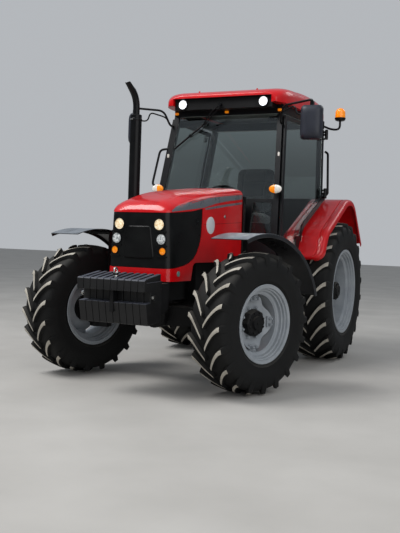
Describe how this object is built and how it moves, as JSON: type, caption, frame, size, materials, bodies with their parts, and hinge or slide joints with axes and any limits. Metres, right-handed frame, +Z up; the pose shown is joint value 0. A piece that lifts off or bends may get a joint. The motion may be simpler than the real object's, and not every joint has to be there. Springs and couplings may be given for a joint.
{
  "type": "farm tractor with cab",
  "caption": "Four-wheel-drive farm tractor with a closed glazed cab, front weights, lifting bonnet, front wheel fenders and a rear three-point linkage.",
  "frame": {"origin": "on the ground, on the machine's centre plane, midway between its front and rear ends", "axes": "+X to the machine's left, +Y to its rear, +Z up"},
  "size_m": [2.4336, 4.1749, 2.8558],
  "materials": {
    "red_paint": "gloss",
    "black_paint": "satin",
    "dark_casting": "painted, satin",
    "weight_casting": "painted, matt",
    "bare_steel": "plated",
    "rim_silver": "satin",
    "tyre_rubber": "matt",
    "dark_plastic": "grained",
    "clear_glass": "tinted",
    "lamp_lens": "clear",
    "seat_cloth": "woven",
    "amber_plastic": "clear"
  },
  "bodies": {
    "chassis": {"front_axle": "dark_casting", "front_support": "dark_casting", "transmission": "dark_casting", "rear_axle": "dark_casting", "engine": "dark_casting", "drawbar": "dark_casting", "front_weights": "weight_casting", "exhaust": "black_paint", "bulkhead": "black_paint", "cab_posts": "black_paint", "roof_frame": "black_paint", "cab_tub": "black_paint", "seat_base": "black_paint", "steps": "black_paint", "fuel_tank": "dark_plastic", "battery_box": "dark_plastic", "roof_fascia": "dark_plastic", "steering_console": "dark_plastic", "mirrors": "dark_plastic", "rear_fenders": "red_paint", "cab_roof": "red_paint", "front_glass": "clear_glass", "rear_window": "clear_glass", "cab_lamps": "lamp_lens", "seat_cushions": "seat_cloth", "beacon": "amber_plastic"},
    "knuckle_left": {"knuckle_left": "dark_casting", "front_fender_left": "dark_plastic"},
    "knuckle_right": {"knuckle_right": "dark_casting", "front_fender_right": "dark_plastic"},
    "wheel_front_left": {"tyre_front_left": "tyre_rubber", "rim_front_left": "rim_silver"},
    "wheel_front_right": {"tyre_front_right": "tyre_rubber", "rim_front_right": "rim_silver"},
    "wheel_rear_left": {"tyre_rear_left": "tyre_rubber", "rim_rear_left": "rim_silver"},
    "wheel_rear_right": {"tyre_rear_right": "tyre_rubber", "rim_rear_right": "rim_silver"},
    "track_rod": {"track_rod": "bare_steel"},
    "door_left": {"door_frame_left": "black_paint", "door_glass_left": "clear_glass"},
    "door_right": {"door_frame_right": "black_paint", "door_glass_right": "clear_glass"},
    "bonnet": {"bonnet": "red_paint", "grille": "dark_plastic", "headlamps": "lamp_lens"},
    "lower_links": {"lower_links": "dark_casting"},
    "lift_arms": {"lift_arms": "dark_casting"},
    "lift_rods": {"lift_rods": "dark_casting"},
    "top_link": {"top_link": "dark_casting"}
  },
  "joints": [
    {"name": "steer_left", "type": "hinge", "parent": "chassis", "child": "knuckle_left", "pos_m": [0.7, -1.2, 0.595], "axis": [0, 0, 1], "range_deg": [-22.4, 57.6]},
    {"name": "steer_right", "type": "hinge", "parent": "chassis", "child": "knuckle_right", "pos_m": [-0.7, -1.2, 0.595], "axis": [0, 0, 1], "range_deg": [-22.4, 57.6]},
    {"name": "track_rod_slide", "type": "slide", "parent": "chassis", "child": "track_rod", "axis": [1, 0, 0], "range_m": [-0.15, 0.06]},
    {"name": "spin_front_left", "type": "hinge", "parent": "knuckle_left", "child": "wheel_front_left", "pos_m": [0.85823, -1.25019, 0.595], "axis": [0.9532, -0.3024, 0], "continuous": true},
    {"name": "spin_front_right", "type": "hinge", "parent": "knuckle_right", "child": "wheel_front_right", "pos_m": [-0.85823, -1.14981, 0.595], "axis": [0.9532, -0.3024, 0], "continuous": true},
    {"name": "spin_rear_left", "type": "hinge", "parent": "chassis", "child": "wheel_rear_left", "pos_m": [0.817, 1.11, 0.755], "axis": [1, 0, 0], "continuous": true},
    {"name": "spin_rear_right", "type": "hinge", "parent": "chassis", "child": "wheel_rear_right", "pos_m": [-0.817, 1.11, 0.755], "axis": [1, 0, 0], "continuous": true},
    {"name": "door_left_hinge", "type": "hinge", "parent": "chassis", "child": "door_left", "pos_m": [0.78963, 0.99599, 1.81742], "axis": [-0.0733, 0.1962, 0.9778], "range_deg": [0, 60]},
    {"name": "door_right_hinge", "type": "hinge", "parent": "chassis", "child": "door_right", "pos_m": [-0.78963, 0.99599, 1.81742], "axis": [-0.0733, -0.1962, -0.9778], "range_deg": [0, 60]},
    {"name": "bonnet_hinge", "type": "hinge", "parent": "chassis", "child": "bonnet", "pos_m": [0, -0.3, 1.752], "axis": [-1, 0, 0], "range_deg": [0, 50]},
    {"name": "lower_link_hinge", "type": "hinge", "parent": "chassis", "child": "lower_links", "pos_m": [0, 1.165, 0.44], "axis": [1, 0, 0], "range_deg": [-21, 26]},
    {"name": "lift_arm_shaft", "type": "hinge", "parent": "chassis", "child": "lift_arms", "pos_m": [0, 1.24, 1.01], "axis": [1, 0, 0], "range_deg": [-24.7, 30.6]},
    {"name": "lift_rod_pins", "type": "hinge", "parent": "lift_arms", "child": "lift_rods", "pos_m": [0, 1.56, 1.06], "axis": [1, 0, 0], "range_deg": [-30.3, 24.5]},
    {"name": "top_link_pin", "type": "hinge", "parent": "chassis", "child": "top_link", "pos_m": [0, 1.39, 0.985], "axis": [1, 0, 0], "range_deg": [-35, 50]}
  ],
  "couplings": [
    {"joint": "steer_right", "follows": "steer_left", "ratio": 1},
    {"joint": "track_rod_slide", "follows": "steer_left", "m_per_rad": -0.147},
    {"joint": "lift_arm_shaft", "follows": "lower_link_hinge", "ratio": 1.17},
    {"joint": "lift_rod_pins", "follows": "lower_link_hinge", "ratio": -1.16}
  ]
}
